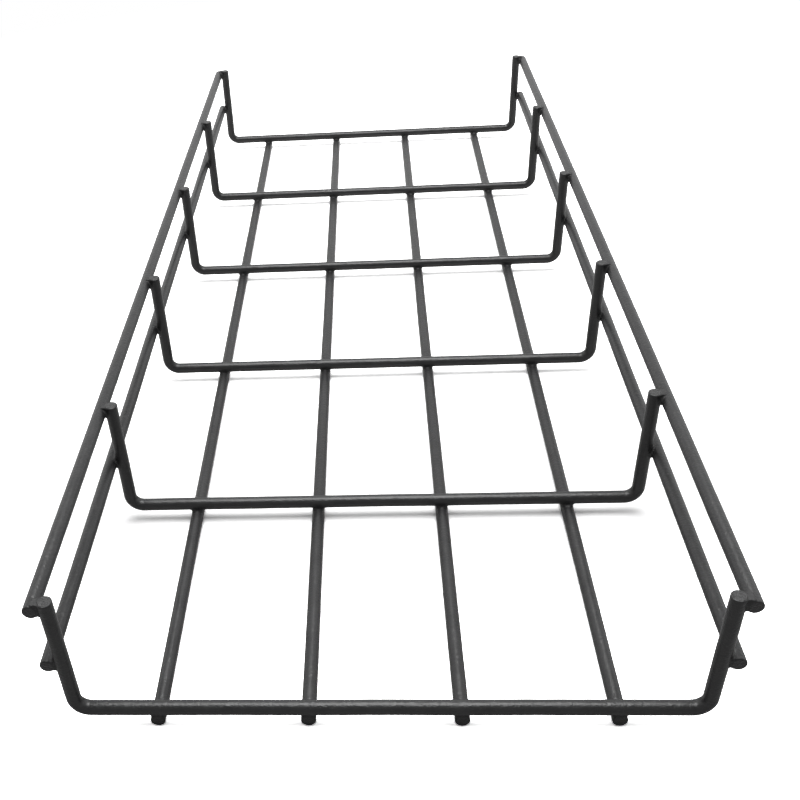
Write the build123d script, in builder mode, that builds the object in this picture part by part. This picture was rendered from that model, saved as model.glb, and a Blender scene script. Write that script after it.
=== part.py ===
from build123d import *

import os

# Welded wire cable tray: U-shaped cross wires stand in a row, and straight wires run the
# length of the tray under and outside them. Every crossing is held by a resistance weld.
#
# Frame: +Z up, +Y along the tray from front to back, +X to the right seen from the front.
# The origin is on the resting plane, midway between the two ends and the two sides.

# Driving dimensions, in millimetres
wire_diameter = 5.0
inside_width = 199.0
overall_height = 58.2
cross_wire_count = 6
cross_wire_pitch = 100.0
bottom_wire_count = 4
bottom_wire_pitch = 50.0
rail_spacing = 25.0  # between the top and middle rails of one side, centre to centre
leg_rise = 0.4  # of the cut leg ends above the top rails
end_overhang = 2.0  # of the lengthwise wires past the centre of the last cross wire
bend_inside_radius = 2.8
cut_edge_round = 0.35  # the powder coat rounds every sheared end

# Each weld presses its two wires together and fuses a small puck of metal between them.
weld_set_down = 0.4
weld_radius = 1.9
weld_thickness = 1.6
weld_edge_round = 0.45

# Places that follow from the driving dimensions
wire_radius = wire_diameter / 2
crossing_distance = wire_diameter - weld_set_down
tray_length = (cross_wire_count - 1) * cross_wire_pitch + 2 * end_overhang
bottom_wire_z = wire_radius
cross_wire_z = bottom_wire_z + crossing_distance
leg_x = inside_width / 2 + wire_radius
rail_x = leg_x + crossing_distance
top_rail_z = overall_height - leg_rise - wire_radius
middle_rail_z = top_rail_z - rail_spacing
bend_radius = bend_inside_radius + wire_radius


def centred_row(count, pitch):
    """Positions of a row of equally spaced wires, centred on zero."""
    return [(i - (count - 1) / 2) * pitch for i in range(count)]


cross_wire_places = centred_row(cross_wire_count, cross_wire_pitch)
bottom_wire_places = centred_row(bottom_wire_count, bottom_wire_pitch)

# name: (x, z) of each lengthwise wire's centre line
lengthwise_wires = {f"bottom_wire_{i + 1}": (x, bottom_wire_z) for i, x in enumerate(bottom_wire_places)}
for side, sign in (("left", -1), ("right", 1)):
    lengthwise_wires[f"{side}_middle_rail"] = (sign * rail_x, middle_rail_z)
    lengthwise_wires[f"{side}_top_rail"] = (sign * rail_x, top_rail_z)


def save(piece, name):
    """Labels a finished piece and writes it as its own STEP file."""
    piece.part.label = name
    export_step(piece.part, f"parts/{name}.step")


def weld_row(x, z):
    """The welds of one lengthwise wire, one at each cross wire, midway between the two centre lines."""
    under_cross_wire = z == bottom_wire_z
    if under_cross_wire:
        centre_x, centre_z, turn = x, z + crossing_distance / 2, 0
    else:
        outward = 1 if x > 0 else -1
        centre_x, centre_z, turn = x - outward * crossing_distance / 2, z, 90
    with BuildPart() as welds:
        with Locations(*[(centre_x, y, centre_z) for y in cross_wire_places]):
            Cylinder(weld_radius, weld_thickness, rotation=(0, turn, 0))
        fillet(welds.edges().filter_by(GeomType.CIRCLE), weld_edge_round)
    return welds


def lengthwise_wire(x, z, welds):
    """A straight wire along the tray, with a pocket where each weld has taken its metal."""
    with BuildPart() as wire:
        with BuildSketch(Plane.XZ):
            with Locations((x, z)):
                Circle(wire_radius)
        extrude(amount=tray_length / 2, both=True)
        fillet(wire.edges().filter_by(GeomType.CIRCLE), cut_edge_round)
        add(welds.part, mode=Mode.SUBTRACT)
    return wire


def cross_wire(y, weld_rows):
    """A U of wire across the tray at y: one floor span and two upright legs, bent cold."""
    with BuildPart() as wire:
        with BuildLine(Plane.XZ.offset(-y)) as centre_line:
            FilletPolyline(
                (-leg_x, overall_height),
                (-leg_x, cross_wire_z),
                (leg_x, cross_wire_z),
                (leg_x, overall_height),
                radius=bend_radius,
            )
        with BuildSketch(Plane(origin=centre_line.line @ 0, z_dir=centre_line.line % 0)):
            Circle(wire_radius)
        sweep(path=centre_line.line)
        fillet(wire.faces().filter_by(Axis.Z).edges(), cut_edge_round)
        for welds in weld_rows:
            add(welds.part, mode=Mode.SUBTRACT)
    return wire


os.makedirs("parts", exist_ok=True)

weld_rows = {name: weld_row(*place) for name, place in lengthwise_wires.items()}
for name, place in lengthwise_wires.items():
    save(lengthwise_wire(*place, weld_rows[name]), name)
    save(weld_rows[name], f"{name}_welds")

for number, place in enumerate(cross_wire_places, start=1):
    save(cross_wire(place, weld_rows.values()), f"cross_wire_{number}")
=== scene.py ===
import math

import bpy
import numpy as np
from mathutils import Matrix, Vector, noise


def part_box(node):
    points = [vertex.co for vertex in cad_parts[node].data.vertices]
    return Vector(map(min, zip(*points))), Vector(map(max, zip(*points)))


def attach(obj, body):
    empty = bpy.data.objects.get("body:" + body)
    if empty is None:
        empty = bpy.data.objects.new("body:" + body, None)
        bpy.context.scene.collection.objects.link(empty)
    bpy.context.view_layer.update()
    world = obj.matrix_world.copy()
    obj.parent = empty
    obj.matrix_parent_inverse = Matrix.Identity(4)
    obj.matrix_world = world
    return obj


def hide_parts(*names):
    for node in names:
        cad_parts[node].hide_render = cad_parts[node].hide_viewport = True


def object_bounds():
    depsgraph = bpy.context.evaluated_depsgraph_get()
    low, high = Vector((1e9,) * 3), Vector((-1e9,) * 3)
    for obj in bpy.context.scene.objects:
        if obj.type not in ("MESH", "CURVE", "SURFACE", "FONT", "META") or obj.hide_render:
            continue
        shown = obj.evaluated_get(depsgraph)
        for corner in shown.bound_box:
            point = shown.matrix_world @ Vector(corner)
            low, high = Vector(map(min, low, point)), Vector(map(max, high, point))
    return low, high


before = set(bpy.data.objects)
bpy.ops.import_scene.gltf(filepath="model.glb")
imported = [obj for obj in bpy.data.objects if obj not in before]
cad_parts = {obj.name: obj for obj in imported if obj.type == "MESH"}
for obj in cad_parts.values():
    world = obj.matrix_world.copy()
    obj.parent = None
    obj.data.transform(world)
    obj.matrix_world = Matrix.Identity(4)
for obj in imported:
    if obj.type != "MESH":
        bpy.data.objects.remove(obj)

# Welded wire cable tray in satin black powder coat. Every wire is rebuilt as a fine swept mesh
# on its CAD centre line, and every weld as a lumpy fillet between the two wires that it joins.
# All lengths are in metres, in the CAD frame: +Z up, +Y from the front end to the back end.

MM = 0.001
CAD_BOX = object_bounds()

# Wire
BEND_TO_WIRE = 2.12  # centre-line bend radius over wire radius
SEGMENTS = 48
RING_STEP = 1.0 * MM
BEND_RING_STEP = 0.35 * MM
EDGE_ROUND = 0.42 * MM  # powder coat rolls over the sheared edges
ROUND_STEPS = 5
FACE_RINGS = (0.94, 0.8, 0.62, 0.44, 0.26, 0.1)
BOW = 0.16 * MM  # how far a wire strays from straight between two welds
BOW_UPWARD = 0.6  # of the bow, in the second direction
RAIL_BOW_SIZE, RAIL_BOW_SIZE_UPWARD = 120 * MM, 140 * MM
CROSS_BOW_SIZE, CROSS_BOW_SIZE_UPWARD = 90 * MM, 80 * MM
COAT_WAVE = 0.03 * MM
COAT_WAVE_SIZE = 5 * MM
FINE_COAT_WAVE = 0.4 * COAT_WAVE
FINE_COAT_WAVE_SIZE = 1.6 * MM
BEND_FLATTEN = 0.03  # share of the radius that a cold bend flattens the wire by
FACE_TILT = 0.035  # slope of a sheared end
FACE_TILT_FADE = 1.2 * MM  # how far back from the end the tilt reaches
FACE_RELIEF = 0.05 * MM
FACE_RELIEF_SIZE = 0.7 * MM

# Weld
WELD_REACH = 4.7 * MM
WELD_FILLET = 1.7 * MM
WELD_FILLET_SPREAD = 0.25  # from weld to weld
WELD_SWELL = 0.09 * MM  # of the metal above the wires at the contact point
WELD_SINK = 0.26 * MM  # how much lower it lies at full reach
WELD_LUMP = 0.14 * MM
WELD_LUMP_SIZE = 0.55  # on a sphere of radius 1
WELD_BEFORE_END = 0.12 * MM  # back from the cut end of the lengthwise wire
WELD_END_LUMP = 0.1 * MM
WELD_RINGS = 36
WELD_SECTORS = 84
RING_CROWDING = 1.35  # draws the rings towards the contact plane
BRIDGE_HALF = np.array((1.4, 1.6, 1.4)) * MM  # the metal that joins a cut leg end to the top rail
BRIDGE_OUTWARD = 0.55 * MM
INNER_BRIDGE_REACH = 0.75  # of the front cross wire's bridges, for the smaller ones behind them
BRIDGE_ROUND = 0.45 * MM
BRIDGE_BELOW_CUT = 0.1 * MM
BRIDGE_BLEND = 0.5 * MM
BRIDGE_LUMP = 0.3 * MM
BRIDGE_TOP_LUMP = 0.05 * MM
MARCH_STEPS = 48
REFINE_STEPS = 14

# Powder coat
CLOUD_SIZE = 9 * MM
CLOUD_SPAN = (0.35, 0.65)  # the noise values that the whole change of tone falls between
ROUGHNESS_SPAN = (0.3, 0.7)
PEEL_SIZE = 1.1 * MM
PEEL_DEPTH = 0.15 * MM
FLECK_SPAN = (0.58, 0.72)
FLECK_SHARE = 0.35
FLECK_TONE = (0.045, 0.045, 0.046, 1)
TORN_SIZE = 0.9 * MM  # of the torn metal on a sheared face
TORN_DEPTH = 0.35 * MM
TORN_SPAN = (0.55, 0.75)
TORN_SHARE = 0.6
TORN_TONE = (0.06, 0.06, 0.061, 1)
COAT_IOR = 1.5

# Floor and light
FLOOR_HALF = 6.0
FLOOR_FADE = (0.4, 0.7)  # distances from the tray's middle between which the floor turns plain white
FLOOR_FRONT_DEPTH = 0.1  # of the painted light on the floor: the brighter strip at the front end, and the change behind it
# The floor tones that the camera sees; their changes along the tray are painted light.
FLOOR_SEEN_FRONT_PAINTED_LIGHT = 3.2
FLOOR_SEEN = 1.15
FLOOR_SEEN_BACK_PAINTED_LIGHT = 0.7  # painted light added to the floor behind the second cross wire
# The floor that the tray sees, darker towards the front end: painted shade.
FLOOR_BOUNCE_FRONT_PAINTED_SHADE = 0.27
FLOOR_BOUNCE_BACK = 0.7
LAMP_HEIGHT = 1.1
LAMP_SIZE = 0.85
LAMP_POWER = 14.2
ROOM_DIM = 0.24
ROOM_BRIGHT = 0.95
ROOM_DEPTH_SPAN = (-0.6, 0.5)
ROOM_HEIGHT_SPAN = (0.25, 0.85)
ROOM_LOW_GAIN = 1.2
ROOM_HIGH_GAIN = 0.75

# Camera
CAMERA_SIDEWAYS = -0.00025
CAMERA_BEFORE_FRONT = 0.1990
CAMERA_HEIGHT = 0.27752
CAMERA_YAW = -5.520
CAMERA_PITCH = 35.868
CAMERA_ROLL = -4.631
CAMERA_LENS = 44.52
CAMERA_SHIFT = 0.1261
CAMERA_CLIP = (0.01, 50.0)
AT_HOME = 0.001  # the lens shift holds this near to the camera's own place

LENGTHWISE_WIRES = [f"bottom_wire_{i}" for i in range(1, 5)]
LENGTHWISE_WIRES += [f"{side}_{level}_rail" for side in ("left", "right") for level in ("middle", "top")]
CROSS_WIRES = [f"cross_wire_{i}" for i in range(1, 7)]


# ---------------------------------------------------------------- measures from the frame

def middle(node):
    low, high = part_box(node)
    return (low + high) / 2


WIRE_RADIUS = (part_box("bottom_wire_1")[1].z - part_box("bottom_wire_1")[0].z) / 2
CROSS_PLACES = [middle(name).y for name in CROSS_WIRES]
WELD_LINES = [(middle(f"{name}_welds").x, middle(f"{name}_welds").z) for name in LENGTHWISE_WIRES]


def wander(place, scale, seed):
    """Smooth noise from -1 to 1 at a place, with features about scale long."""
    return noise.noise(Vector(place) / scale + Vector((seed * 7.31, seed * 3.17, seed * 5.93)))


def between_welds(distance, welds):
    """0 at each weld and 1 midway between two, so that a bowed wire still meets its welds."""
    for before, after in zip(welds, welds[1:]):
        if before <= distance <= after:
            return math.sin(math.pi * (distance - before) / (after - before)) ** 2
    return 0.0


# ---------------------------------------------------------------- mesh helpers

def make_object(name, vertices, faces):
    mesh = bpy.data.meshes.new(name)
    mesh.from_pydata([tuple(v) for v in vertices], [], faces)
    mesh.update()
    mesh.shade_smooth()
    piece = bpy.data.objects.new(name, mesh)
    bpy.context.scene.collection.objects.link(piece)
    return piece


def grid_faces(rings, around, first=0):
    """Quads of a closed tube of vertex rings, with a fan at each end to the two pole vertices that follow
    the rings."""
    faces = []
    for i in range(rings - 1):
        for j in range(around):
            k = (j + 1) % around
            a, b = first + i * around, first + (i + 1) * around
            faces.append((a + j, a + k, b + k, b + j))
    south, north = first + rings * around, first + rings * around + 1
    last = first + (rings - 1) * around
    for j in range(around):
        k = (j + 1) % around
        faces.append((south, first + k, first + j))
        faces.append((north, last + j, last + k))
    return faces


def add_mask(piece, name, values):
    attribute = piece.data.attributes.new(name, "FLOAT", "POINT")
    attribute.data.foreach_set("value", np.asarray(values, np.float32))


# ---------------------------------------------------------------- wires

def end_profile():
    """(distance back from the cut face, share of the radius, on the cut face) of each ring of a cut end."""
    rings = []
    for step in range(ROUND_STEPS + 1):
        turn = math.pi / 2 * step / ROUND_STEPS
        back = EDGE_ROUND * (1 - math.sin(turn))
        rings.append((back, 1 - EDGE_ROUND * (1 - math.cos(turn)) / WIRE_RADIUS, 0.0))
    inner = 1 - EDGE_ROUND / WIRE_RADIUS
    rings += [(0.0, inner * share, 1.0) for share in FACE_RINGS]
    return rings


def swept_wire(name, point_at, length, stations, side, seed):
    """A round wire along point_at(distance), with sheared ends. side is square to the path everywhere."""
    profile = end_profile()
    start = [(back, share, cut) for back, share, cut in reversed(profile)]
    finish = [(length - back, share, cut) for back, share, cut in profile]
    inner = [(s, 1.0, 0.0) for s in stations if 1.5 * EDGE_ROUND < s < length - 1.5 * EDGE_ROUND]
    rings = start + inner + finish

    angles = [2 * math.pi * j / SEGMENTS for j in range(SEGMENTS)]
    tilt = (FACE_TILT * wander((seed, 1, 0), 1, seed), FACE_TILT * wander((seed, 2, 0), 1, seed))
    vertices, cut_mask = [], []

    def place(distance, u, v, cut):
        centre, along, bend = point_at(distance)
        across = along.cross(side)
        local = side * u + across * v
        from_end = min(distance, length - distance)
        coat = COAT_WAVE * wander(centre + local, COAT_WAVE_SIZE, seed)
        coat += FINE_COAT_WAVE * wander(centre + local, FINE_COAT_WAVE_SIZE, seed)
        flat = 1 - BEND_FLATTEN * bend * (v * v - u * u) / WIRE_RADIUS ** 2
        spread = local * flat
        if cut < 0.5:
            spread += local.normalized() * coat
        lean = math.exp(-from_end / FACE_TILT_FADE) * (tilt[0] * u + tilt[1] * v)
        lift = FACE_RELIEF * cut * wander(centre + local, FACE_RELIEF_SIZE, seed + 3)
        outward = 1 if distance > length / 2 else -1
        vertices.append(centre + spread + along * (lean + outward * lift))
        cut_mask.append(cut)

    for distance, share, cut in rings:
        radius = share * WIRE_RADIUS
        for angle in angles:
            place(distance, radius * math.cos(angle), radius * math.sin(angle), cut)
    place(0.0, 0.0, 0.0, 1.0)
    place(length, 0.0, 0.0, 1.0)
    faces = grid_faces(len(rings), SEGMENTS)
    piece = make_object(f"coated_{name}", vertices, faces)
    add_mask(piece, "cut_face", cut_mask)
    return piece


def lengthwise_wire(node, seed):
    low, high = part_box(node)
    x, z = (low.x + high.x) / 2, (low.z + high.z) / 2
    length = high.y - low.y
    welds = [y - low.y for y in CROSS_PLACES]
    side = Vector((1, 0, 0))

    def point_at(distance):
        bow = BOW * between_welds(distance, welds)
        place = (x, low.y + distance, z)
        upward = BOW_UPWARD * wander(place, RAIL_BOW_SIZE_UPWARD, seed + 1)
        shift = Vector((wander(place, RAIL_BOW_SIZE, seed), 0, upward))
        return Vector(place) + bow * shift, Vector((0, 1, 0)), 0.0

    stations = np.linspace(0, length, round(length / RING_STEP))
    return swept_wire(node, point_at, length, stations, side, seed)


def cross_wire(node, seed):
    """A leg down, a bend, the floor span, a bend and a leg up, all in the plane of the wire's own y."""
    low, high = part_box(node)
    y = (low.y + high.y) / 2
    left, right = low.x + WIRE_RADIUS, high.x - WIRE_RADIUS
    floor, top = low.z + WIRE_RADIUS, high.z
    bend = BEND_TO_WIRE * WIRE_RADIUS
    leg, arc, span = top - floor - bend, math.pi / 2 * bend, right - left - 2 * bend
    length = 2 * leg + 2 * arc + span
    rail_heights = sorted({round(z, 5) for x, z in WELD_LINES if abs(x) > right})
    leg_welds = [top - z for z in reversed(rail_heights)]
    span_welds = [leg + arc + (x - left - bend) for x, z in WELD_LINES if z < floor]
    welds = leg_welds + sorted(span_welds) + [length - d for d in reversed(leg_welds)]

    def path(distance):
        if distance <= leg:
            return left, top - distance, 0.0, -1.0, 0.0
        if distance <= leg + arc:
            turn = (distance - leg) / bend
            return (left + bend * (1 - math.cos(turn)), floor + bend * (1 - math.sin(turn)),
                    math.sin(turn), -math.cos(turn), math.sin(2 * turn))
        if distance <= leg + arc + span:
            return left + bend + distance - leg - arc, floor, 1.0, 0.0, 0.0
        if distance <= leg + 2 * arc + span:
            turn = (distance - leg - arc - span) / bend
            return (right - bend * (1 - math.sin(turn)), floor + bend * (1 - math.cos(turn)),
                    math.cos(turn), math.sin(turn), math.sin(2 * turn))
        return right, floor + bend + distance - leg - 2 * arc - span, 0.0, 1.0, 0.0

    def point_at(distance):
        x, z, along_x, along_z, bent = path(distance)
        along = Vector((along_x, 0, along_z))
        side = Vector((0, 1, 0))
        bow = BOW * between_welds(distance, welds)
        shift = side * wander((x, y, z), CROSS_BOW_SIZE, seed)
        shift += BOW_UPWARD * along.cross(side) * wander((x, y, z), CROSS_BOW_SIZE_UPWARD, seed + 1)
        return Vector((x, y, z)) + bow * shift, along, bent

    stations, distance = [], 0.0
    while distance < length:
        stations.append(distance)
        on_first = leg - RING_STEP < distance < leg + arc
        on_second = leg + arc + span - RING_STEP < distance < length - leg
        distance += BEND_RING_STEP if on_first or on_second else RING_STEP
    return swept_wire(node, point_at, length, stations, Vector((0, 1, 0)), seed)


# ---------------------------------------------------------------- welds

def noise_field(points, scale, seed):
    return np.array([wander(p, scale, seed) for p in points])


def rod_distance(points, through, along):
    """Distance from points to the surface of an endless wire."""
    away = points - np.array(through)
    away = away - np.outer(away @ np.array(along), np.array(along))
    return np.linalg.norm(away, axis=1) - WIRE_RADIUS


def blend_distance(a, b, width):
    """The nearer of two distances, rounded where they are about equal, as molten metal fills a corner."""
    h = np.clip(0.5 + 0.5 * (b - a) / width, 0, 1)
    return b * (1 - h) + a * h - width * h * (1 - h)


def weld(centre, inward, cross_axis, top, end, bridge_reach, seed):
    """Vertices of one weld around its contact point. inward points from the lengthwise wire to the cross
    wire. cross_axis is the cross wire's direction there. top is the height of the cut leg ends, for a weld
    with a bridge. end is where the lengthwise wire stops. bridge_reach scales the bridge sideways."""
    centre, inward = np.array(centre), np.array(inward)
    lengthwise = np.array((0.0, 1.0, 0.0))
    gap = WELD_GAP / 2
    across = np.cross(inward, lengthwise)
    fillet = WELD_FILLET * (1 + WELD_FILLET_SPREAD * wander((seed, 0, 0), 1, seed))

    directions = []
    for i in range(WELD_RINGS):
        share = 2 * (i + 0.5) / WELD_RINGS - 1
        latitude = math.pi / 2 * math.copysign(abs(share) ** RING_CROWDING, share)
        for j in range(WELD_SECTORS):
            turn = 2 * math.pi * j / WELD_SECTORS
            flat = lengthwise * math.cos(turn) + across * math.sin(turn)
            directions.append(flat * math.cos(latitude) + inward * math.sin(latitude))
    directions += [-inward, inward]
    directions = np.array(directions)
    lumps = noise_field(directions, WELD_LUMP_SIZE, seed)

    def field(reach):
        points = centre + directions * reach[:, None]
        share = reach / WELD_REACH
        swell = WELD_SWELL - WELD_SINK * share ** 2
        lengthwise_gap = rod_distance(points, centre - inward * gap, lengthwise) - swell
        cross_gap = rod_distance(points, centre + inward * gap, cross_axis) - swell
        value = blend_distance(lengthwise_gap, cross_gap, fillet)
        if top is not None:
            cut = top - BRIDGE_BELOW_CUT
            block = centre - inward * BRIDGE_OUTWARD * bridge_reach
            block[2] = cut - BRIDGE_HALF[2] + BRIDGE_ROUND
            half = BRIDGE_HALF * np.array((bridge_reach, 1, 1))
            away = np.abs(points - block) - half + BRIDGE_ROUND
            outside_block = np.linalg.norm(np.maximum(away, 0), axis=1)
            bridge = outside_block - BRIDGE_ROUND + np.minimum(away.max(axis=1), 0)
            value = blend_distance(value, bridge + BRIDGE_LUMP * lumps, BRIDGE_BLEND)
            value = np.maximum(value, points[:, 2] - cut + BRIDGE_TOP_LUMP * lumps)
        past_end = np.abs(points[:, 1]) - end
        value = np.maximum(value, past_end + WELD_BEFORE_END + WELD_END_LUMP * lumps)
        value -= WELD_LUMP * lumps * (1 - share)
        return np.maximum(value, reach - WELD_REACH)

    inside, outside = np.zeros(len(directions)), np.full(len(directions), WELD_REACH)
    open_still = np.ones(len(directions), bool)
    for step in range(1, MARCH_STEPS + 1):
        reach = np.full(len(directions), WELD_REACH * step / MARCH_STEPS)
        out = field(reach) >= 0
        outside[open_still & out] = reach[0]
        open_still &= ~out
        inside[open_still] = reach[0]
    for _ in range(REFINE_STEPS):
        trial = (inside + outside) / 2
        out = field(trial) >= 0
        outside[out], inside[~out] = trial[out], trial[~out]
    return centre + directions * ((inside + outside) / 2)[:, None]


CROSS_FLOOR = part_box("cross_wire_1")[0].z + WIRE_RADIUS
WELD_GAP = CROSS_FLOOR - middle("bottom_wire_1").z  # between the centre lines of two welded wires


def weld_row(node, seed):
    """The welds of one lengthwise wire, one at each cross wire."""
    wire = node.removesuffix("_welds")
    spot = middle(node)
    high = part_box(wire)[1]
    under = spot.z < CROSS_FLOOR
    inward = (0.0, 0.0, 1.0) if under else (-math.copysign(1.0, spot.x), 0.0, 0.0)
    cross_axis = (1.0, 0.0, 0.0) if under else (0.0, 0.0, 1.0)
    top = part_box("cross_wire_1")[1].z if wire.endswith("top_rail") else None
    vertices, faces = [], []
    for number, y in enumerate(CROSS_PLACES):
        faces += grid_faces(WELD_RINGS, WELD_SECTORS, len(vertices))
        reach = 1.0 if number == 0 else INNER_BRIDGE_REACH
        centre = (spot.x, y, spot.z)
        vertices += list(weld(centre, inward, cross_axis, top, high.y, reach, seed + 10 * number))
    return make_object(f"coated_{node}", vertices, faces)


# ---------------------------------------------------------------- materials

def node_setup(material):
    tree = material.node_tree
    tree.nodes.clear()
    out = tree.nodes.new("ShaderNodeOutputMaterial")
    shader = tree.nodes.new("ShaderNodeBsdfPrincipled")
    tree.links.new(shader.outputs["BSDF"], out.inputs["Surface"])
    return tree, shader


def noise_node(tree, where, size, detail, roughness=0.5):
    texture = tree.nodes.new("ShaderNodeTexNoise")
    texture.inputs["Scale"].default_value = 1 / size
    texture.inputs["Detail"].default_value = detail
    texture.inputs["Roughness"].default_value = roughness
    tree.links.new(where, texture.inputs["Vector"])
    return texture.outputs["Fac"]


def map_node(tree, value, from_low, from_high, to_low, to_high):
    mapped = tree.nodes.new("ShaderNodeMapRange")
    tree.links.new(value, mapped.inputs["Value"])
    sockets = {"From Min": from_low, "From Max": from_high, "To Min": to_low, "To Max": to_high}
    for socket, number in sockets.items():
        mapped.inputs[socket].default_value = number
    return mapped.outputs["Result"]


def mix_colour(tree, share, first, second):
    mixed = tree.nodes.new("ShaderNodeMix")
    mixed.data_type = "RGBA"
    tree.links.new(share, mixed.inputs["Factor"])
    for socket, colour in (("A", first), ("B", second)):
        target = [s for s in mixed.inputs if s.name == socket and s.type == "RGBA"][0]
        if isinstance(colour, bpy.types.NodeSocket):
            tree.links.new(colour, target)
        else:
            target.default_value = colour
    return [s for s in mixed.outputs if s.type == "RGBA"][0]


def bump_node(tree, height, depth, normal=None):
    bump = tree.nodes.new("ShaderNodeBump")
    bump.inputs["Distance"].default_value = depth
    tree.links.new(height, bump.inputs["Height"])
    if normal is not None:
        tree.links.new(normal, bump.inputs["Normal"])
    return bump.outputs["Normal"]


def powder_coat(name, grain, grain_depth, dark, light, smoothest, roughest):
    """Satin black powder coat: fine grain over a soft orange peel, cloudy tone, rougher on sheared faces."""
    material = bpy.data.materials.new(name)
    material.use_nodes = True
    tree, shader = node_setup(material)
    place = tree.nodes.new("ShaderNodeTexCoord").outputs["Object"]
    cloud = noise_node(tree, place, CLOUD_SIZE, 3)
    speckle = noise_node(tree, place, grain, 2, 0.6)
    peel = noise_node(tree, place, PEEL_SIZE, 2)

    cut = tree.nodes.new("ShaderNodeAttribute")
    cut.attribute_name = "cut_face"
    tone = mix_colour(tree, map_node(tree, cloud, *CLOUD_SPAN, 0, 1), dark, light)
    fleck = map_node(tree, speckle, *FLECK_SPAN, 0, FLECK_SHARE)
    tone = mix_colour(tree, fleck, tone, FLECK_TONE)
    torn = noise_node(tree, place, TORN_SIZE, 3, 0.65)
    torn_here = tree.nodes.new("ShaderNodeMath")
    torn_here.operation = "MULTIPLY"
    tree.links.new(torn, torn_here.inputs[0])
    tree.links.new(cut.outputs["Fac"], torn_here.inputs[1])
    torn_share = map_node(tree, torn_here.outputs["Value"], *TORN_SPAN, 0, TORN_SHARE)
    tone = mix_colour(tree, torn_share, tone, TORN_TONE)
    tree.links.new(tone, shader.inputs["Base Color"])

    roughness = map_node(tree, cloud, *ROUGHNESS_SPAN, smoothest, roughest)
    tree.links.new(roughness, shader.inputs["Roughness"])
    shader.inputs["IOR"].default_value = COAT_IOR
    normal = bump_node(tree, peel, PEEL_DEPTH)
    normal = bump_node(tree, torn_here.outputs["Value"], TORN_DEPTH, normal)
    normal = bump_node(tree, speckle, grain_depth, normal)
    tree.links.new(normal, shader.inputs["Normal"])
    return material


wire_coat = powder_coat("coated_wire", grain=0.65 * MM, grain_depth=0.1 * MM,
                        dark=(0.016, 0.016, 0.0165, 1), light=(0.022, 0.022, 0.0225, 1),
                        smoothest=0.29, roughest=0.37)
# The weld coat's tones are darker than the wire coat's as painted shade, for the shade in the crevices
# between the joined wires.
weld_coat_painted_shade = powder_coat("coated_weld", grain=0.55 * MM, grain_depth=0.13 * MM,
                        dark=(0.010, 0.010, 0.0104, 1), light=(0.015, 0.015, 0.0155, 1),
                        smoothest=0.44, roughest=0.54)


# ---------------------------------------------------------------- the tray

def add_piece(build, node, seed, material):
    piece = build(node, seed)
    piece.data.materials.append(material)
    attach(piece, "root")
    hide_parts(node)


for seed, name in enumerate(LENGTHWISE_WIRES, start=1):
    add_piece(lengthwise_wire, name, seed, wire_coat)
    add_piece(weld_row, f"{name}_welds", 100 + seed, weld_coat_painted_shade)
for seed, name in enumerate(CROSS_WIRES, start=21):
    add_piece(cross_wire, name, seed, wire_coat)


# ---------------------------------------------------------------- floor, light and camera

def stage_floor():
    """To the camera, a pale floor that shows the tray's shadow and turns plain white further off. Its tone
    carries
    painted light: a brighter strip at the front end and a brighter floor behind the second cross wire, above
    1 and brighter than a real floor, which sets how dark the shadows look. To the tray, a greyer floor whose
    tone darkens towards the front end as painted shade, so that it throws less light back there."""
    half = FLOOR_HALF
    corners = [(-half, -half, 0), (half, -half, 0), (half, half, 0), (-half, half, 0)]
    floor = make_object("floor", [Vector(c) + Vector((0, 0, CAD_BOX[0].z)) for c in corners], [(0, 1, 2, 3)])
    material = bpy.data.materials.new("pale_floor_with_painted_light")
    material.use_nodes = True
    tree = material.node_tree
    tree.nodes.clear()
    out = tree.nodes.new("ShaderNodeOutputMaterial")
    mix = tree.nodes.new("ShaderNodeMixShader")
    place = tree.nodes.new("ShaderNodeTexCoord").outputs["Object"]
    split = tree.nodes.new("ShaderNodeSeparateXYZ")
    tree.links.new(place, split.inputs["Vector"])
    seen = tree.nodes.new("ShaderNodeBsdfDiffuse")
    front, back = CAD_BOX[0].y, CAD_BOX[1].y
    second, third = front + FLOOR_FRONT_DEPTH, front + 2 * FLOOR_FRONT_DEPTH
    # Painted light: the floor the camera sees is brighter in a strip at the front end and again behind the
    # second cross wire.
    painted_front_light = map_node(tree, split.outputs["Y"], front, second, FLOOR_SEEN_FRONT_PAINTED_LIGHT, FLOOR_SEEN)
    painted_back_light = map_node(tree, split.outputs["Y"], second, third, 0, FLOOR_SEEN_BACK_PAINTED_LIGHT)
    tone = tree.nodes.new("ShaderNodeMath")
    tree.links.new(painted_front_light, tone.inputs[0])
    tree.links.new(painted_back_light, tone.inputs[1])
    tree.links.new(tone.outputs["Value"], seen.inputs["Color"])
    distance = tree.nodes.new("ShaderNodeVectorMath")
    distance.operation = "LENGTH"
    tree.links.new(place, distance.inputs[0])
    plain = tree.nodes.new("ShaderNodeEmission")
    fade = tree.nodes.new("ShaderNodeMixShader")
    tree.links.new(map_node(tree, distance.outputs["Value"], *FLOOR_FADE, 0, 1), fade.inputs["Fac"])
    tree.links.new(seen.outputs["BSDF"], fade.inputs[1])
    tree.links.new(plain.outputs["Emission"], fade.inputs[2])
    bounced = tree.nodes.new("ShaderNodeBsdfDiffuse")
    # Painted shade: the floor that the tray sees darkens towards the front end, standing in for less light
    # falling there.
    bounce_painted_shade = map_node(tree, split.outputs["Y"], front, back, FLOOR_BOUNCE_FRONT_PAINTED_SHADE, FLOOR_BOUNCE_BACK)
    tree.links.new(bounce_painted_shade, bounced.inputs["Color"])
    rays = tree.nodes.new("ShaderNodeLightPath")
    tree.links.new(rays.outputs["Is Camera Ray"], mix.inputs["Fac"])
    tree.links.new(bounced.outputs["BSDF"], mix.inputs[1])
    tree.links.new(fade.outputs["Shader"], mix.inputs[2])
    tree.links.new(mix.outputs["Shader"], out.inputs["Surface"])
    floor.data.materials.append(material)


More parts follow.
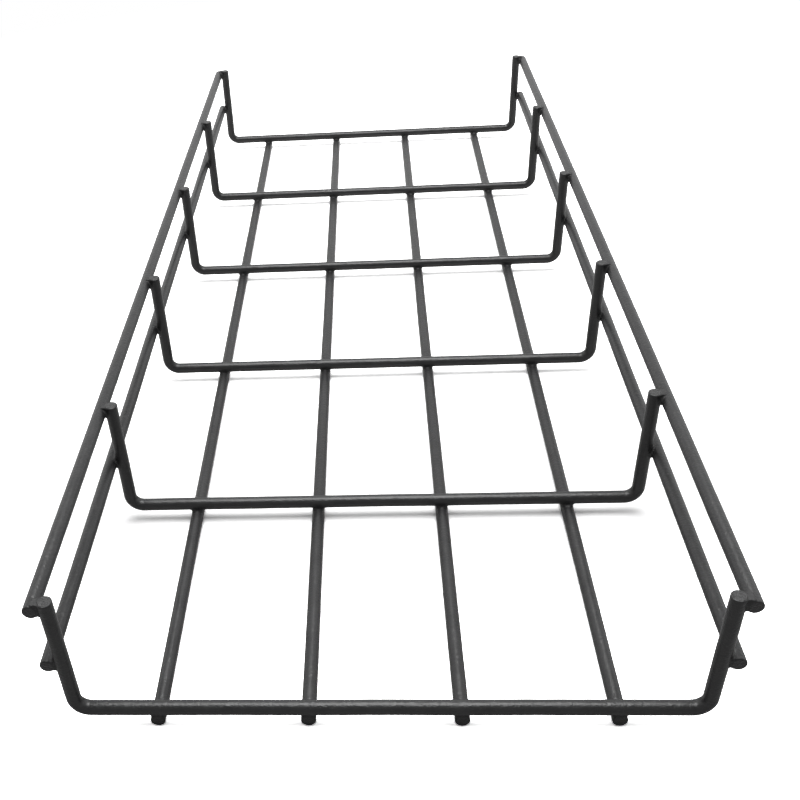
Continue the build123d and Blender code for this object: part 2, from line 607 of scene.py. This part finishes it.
def soft_room():
    """White to the camera. To the object, a room that is bright behind it and dim on the camera's side."""
    world = bpy.data.worlds.new("soft_room")
    bpy.context.scene.world = world
    world.use_nodes = True
    tree = world.node_tree
    tree.nodes.clear()
    out = tree.nodes.new("ShaderNodeOutputWorld")
    background = tree.nodes.new("ShaderNodeBackground")
    direction = tree.nodes.new("ShaderNodeTexCoord").outputs["Generated"]
    split = tree.nodes.new("ShaderNodeSeparateXYZ")
    tree.links.new(direction, split.inputs["Vector"])
    depth = map_node(tree, split.outputs["Y"], *ROOM_DEPTH_SPAN, ROOM_DIM, ROOM_BRIGHT)
    height = map_node(tree, split.outputs["Z"], *ROOM_HEIGHT_SPAN, ROOM_LOW_GAIN, ROOM_HIGH_GAIN)
    product = tree.nodes.new("ShaderNodeMath")
    product.operation = "MULTIPLY"
    tree.links.new(depth, product.inputs[0])
    tree.links.new(height, product.inputs[1])
    rays = tree.nodes.new("ShaderNodeLightPath")
    seen = tree.nodes.new("ShaderNodeMix")
    tree.links.new(rays.outputs["Is Camera Ray"], seen.inputs["Factor"])
    tree.links.new(product.outputs["Value"], seen.inputs["A"])
    seen.inputs["B"].default_value = 1.0
    tree.links.new(seen.outputs["Result"], background.inputs["Strength"])
    tree.links.new(background.outputs["Background"], out.inputs["Surface"])
    background.inputs["Color"].default_value = (1, 1, 1, 1)


def overhead_light():
    lamp = bpy.data.lights.new("overhead", "AREA")
    lamp.shape = "DISK"
    lamp.size = LAMP_SIZE
    lamp.energy = LAMP_POWER
    holder = bpy.data.objects.new("overhead", lamp)
    holder.location = (0, 0, LAMP_HEIGHT)
    bpy.context.scene.collection.objects.link(holder)


def camera():
    """Stands before the front end, above it, and looks down the tray. The lens is shifted sideways, so that
    the picture's middle lies right of the line of sight. The shift is dropped when the camera is moved."""
    data = bpy.data.cameras.new("camera")
    holder = bpy.data.objects.new("camera", data)
    bpy.context.scene.collection.objects.link(holder)
    bpy.context.scene.camera = holder
    front = CAD_BOX[0].y
    holder.location = (CAMERA_SIDEWAYS, front - CAMERA_BEFORE_FRONT, CAMERA_HEIGHT)
    yaw, pitch = math.radians(CAMERA_YAW), math.radians(CAMERA_PITCH)
    forward = Vector((math.sin(yaw) * math.cos(pitch), math.cos(yaw) * math.cos(pitch), -math.sin(pitch)))
    right = Vector((math.cos(yaw), -math.sin(yaw), 0))
    up = right.cross(forward)
    level = Matrix((right, up, -forward)).transposed()
    holder.rotation_mode = "QUATERNION"
    holder.rotation_quaternion = (level @ Matrix.Rotation(math.radians(CAMERA_ROLL), 3, "Z")).to_quaternion()
    data.lens = CAMERA_LENS
    data.clip_start, data.clip_end = CAMERA_CLIP

    shift = data.driver_add("shift_x").driver
    shift.type = "SCRIPTED"
    for name, channel in (("x", "LOC_X"), ("y", "LOC_Y"), ("z", "LOC_Z")):
        variable = shift.variables.new()
        variable.name = name
        variable.type = "TRANSFORMS"
        variable.targets[0].id = holder
        variable.targets[0].transform_type = channel
        variable.targets[0].transform_space = "WORLD_SPACE"
    home = holder.location
    away = f"abs(x - {home.x:.6f}) + abs(y - {home.y:.6f}) + abs(z - {home.z:.6f})"
    shift.expression = f"{CAMERA_SHIFT} if {away} < {AT_HOME} else 0"


stage_floor()
soft_room()
overhead_light()
camera()
bpy.context.scene.view_settings.view_transform = "Standard"
